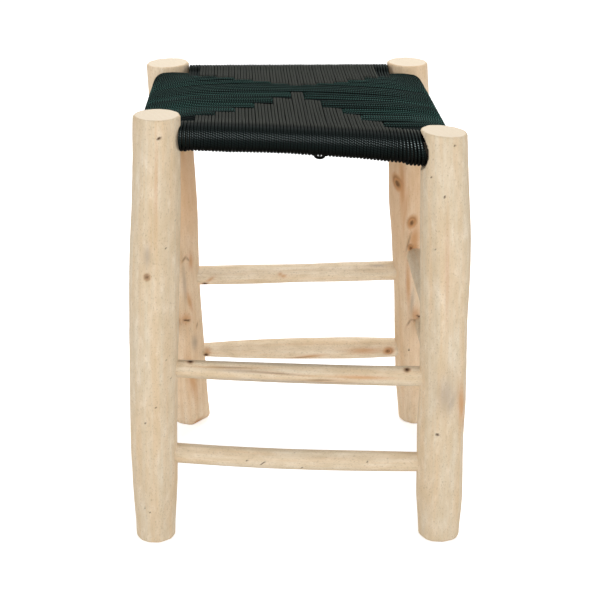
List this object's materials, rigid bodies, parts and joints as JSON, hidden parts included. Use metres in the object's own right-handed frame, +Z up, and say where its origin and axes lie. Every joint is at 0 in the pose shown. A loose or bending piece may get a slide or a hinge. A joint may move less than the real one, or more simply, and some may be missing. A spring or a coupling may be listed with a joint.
{
  "type": "stool",
  "caption": "Low square stool of hewn pale wood posts and rungs, with a seat of dark and green cord wound and interlaced in a stepped pattern of facing triangles.",
  "frame": {"origin": "middle of the bounding box's footprint, on the ground", "axes": "+Z up, +X to the right along the front, +Y from the front to the back"},
  "size_m": [0.3778, 0.3734, 0.5002],
  "materials": {
    "pale_wood": "hewn and left bare",
    "rail_wood": "hewn and left bare",
    "dark_cord": "braided cord",
    "green_cord": "braided cord"
  },
  "bodies": {
    "root": {"leg_front_left": "pale_wood", "leg_front_right": "pale_wood", "leg_back_left": "pale_wood", "leg_back_right": "pale_wood", "rung_front_upper": "pale_wood", "rung_front_lower": "pale_wood", "rung_back_upper": "pale_wood", "rung_back_lower": "pale_wood", "rung_left_upper": "pale_wood", "rung_left_lower": "pale_wood", "rung_right_upper": "pale_wood", "rung_right_lower": "pale_wood", "seat_rail_front": "rail_wood", "seat_rail_back": "rail_wood", "seat_rail_left": "rail_wood", "seat_rail_right": "rail_wood", "warp_cord_left": "dark_cord", "warp_cord_middle": "dark_cord", "warp_cord_right": "dark_cord", "weft_cord_front": "green_cord", "weft_cord_middle": "green_cord", "weft_cord_back": "green_cord", "cord_end_loop": "dark_cord"}
  },
  "joints": []
}
